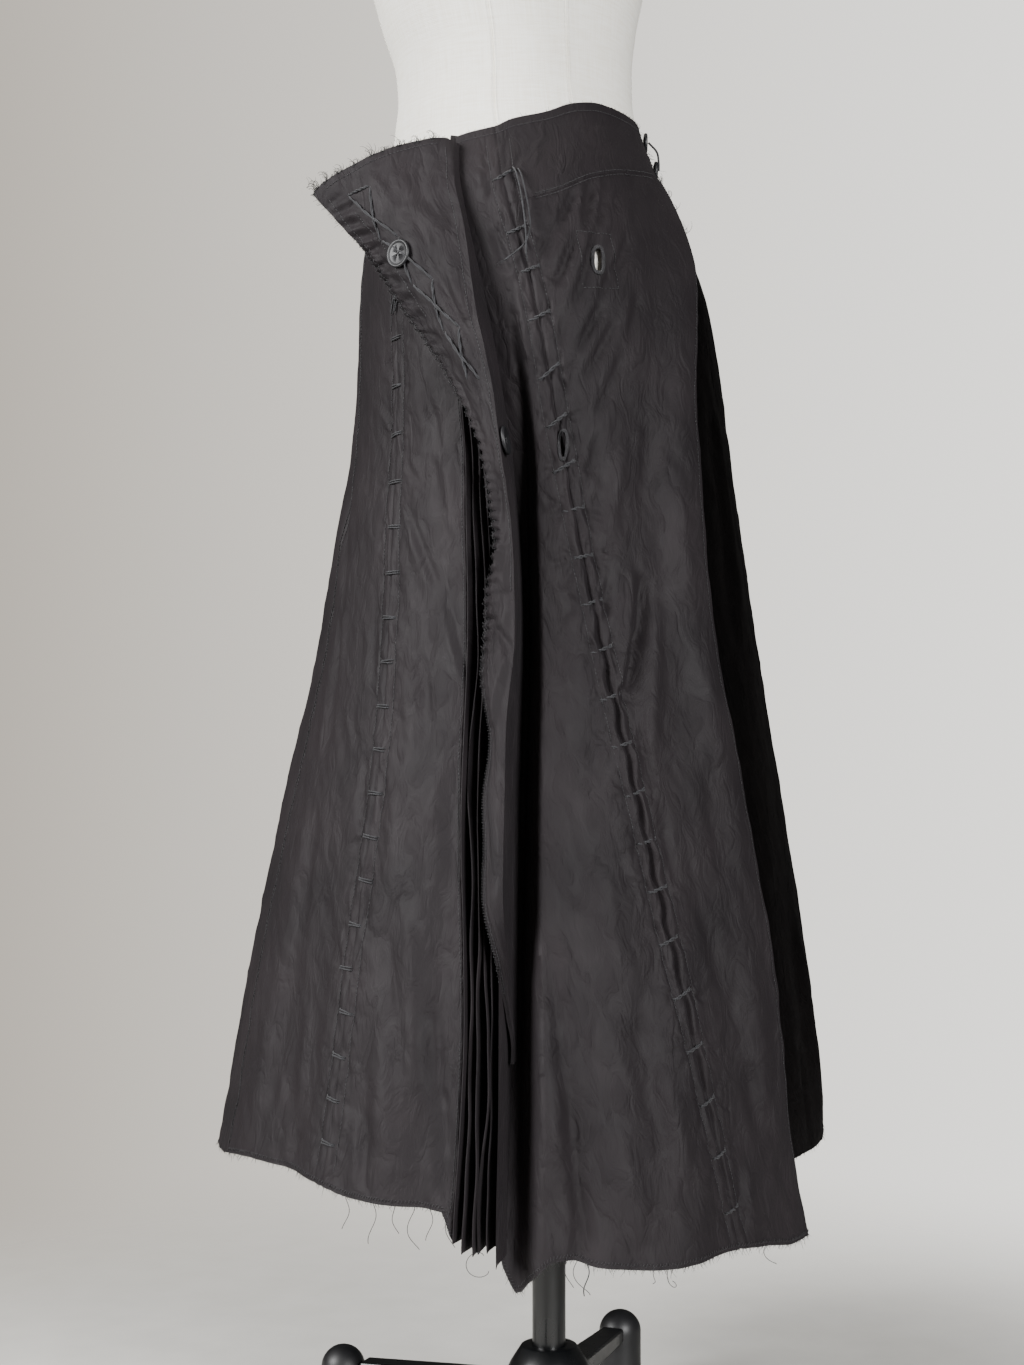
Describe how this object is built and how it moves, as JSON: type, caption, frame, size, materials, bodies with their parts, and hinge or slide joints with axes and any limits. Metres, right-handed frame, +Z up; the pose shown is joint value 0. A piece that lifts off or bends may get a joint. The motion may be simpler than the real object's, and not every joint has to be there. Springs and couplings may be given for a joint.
{
  "type": "laced wrap skirt on a dress form with its stand",
  "caption": "Long black wrap skirt with laced seams, a turned-back flap and narrow pleats, worn by a limbless dress form on a four-legged stand.",
  "frame": {"origin": "on the floor, below the middle of the whole", "axes": "+Z up; -Y towards the viewer of the picture; the form faces -X; +X to the viewer's right"},
  "size_m": [0.451, 0.5784, 1.5143],
  "materials": {
    "cloth": "black plain-weave cloth with a soft sheen",
    "button": "moulded black resin, satin",
    "lace": "twisted charcoal cord",
    "linen": "off-white linen over a hard body",
    "wood": "turned and waxed",
    "black_steel": "black satin paint",
    "black_nylon": "moulded black nylon"
  },
  "bodies": {
    "root": {"left_back_panel": "cloth", "left_side_panel": "cloth", "left_front_panel": "cloth", "front_pleats": "cloth", "centre_front_panel": "cloth", "right_front_panel": "cloth", "right_hip_yoke": "cloth", "right_back_panel": "cloth", "front_flap": "cloth", "flap_button_upper": "button", "flap_button_lower": "button", "back_button_upper": "button", "back_button_lower": "button", "lace_tail_long": "lace", "lace_tail_short": "lace", "form_torso": "linen", "form_neck_cap": "wood", "stand_pole": "black_steel", "stand_hub": "black_steel", "stand_leg_1": "black_steel", "stand_leg_2": "black_steel", "stand_leg_3": "black_steel", "stand_leg_4": "black_steel", "stand_foot_1": "black_nylon", "stand_foot_2": "black_nylon", "stand_foot_3": "black_nylon", "stand_foot_4": "black_nylon"}
  },
  "joints": []
}
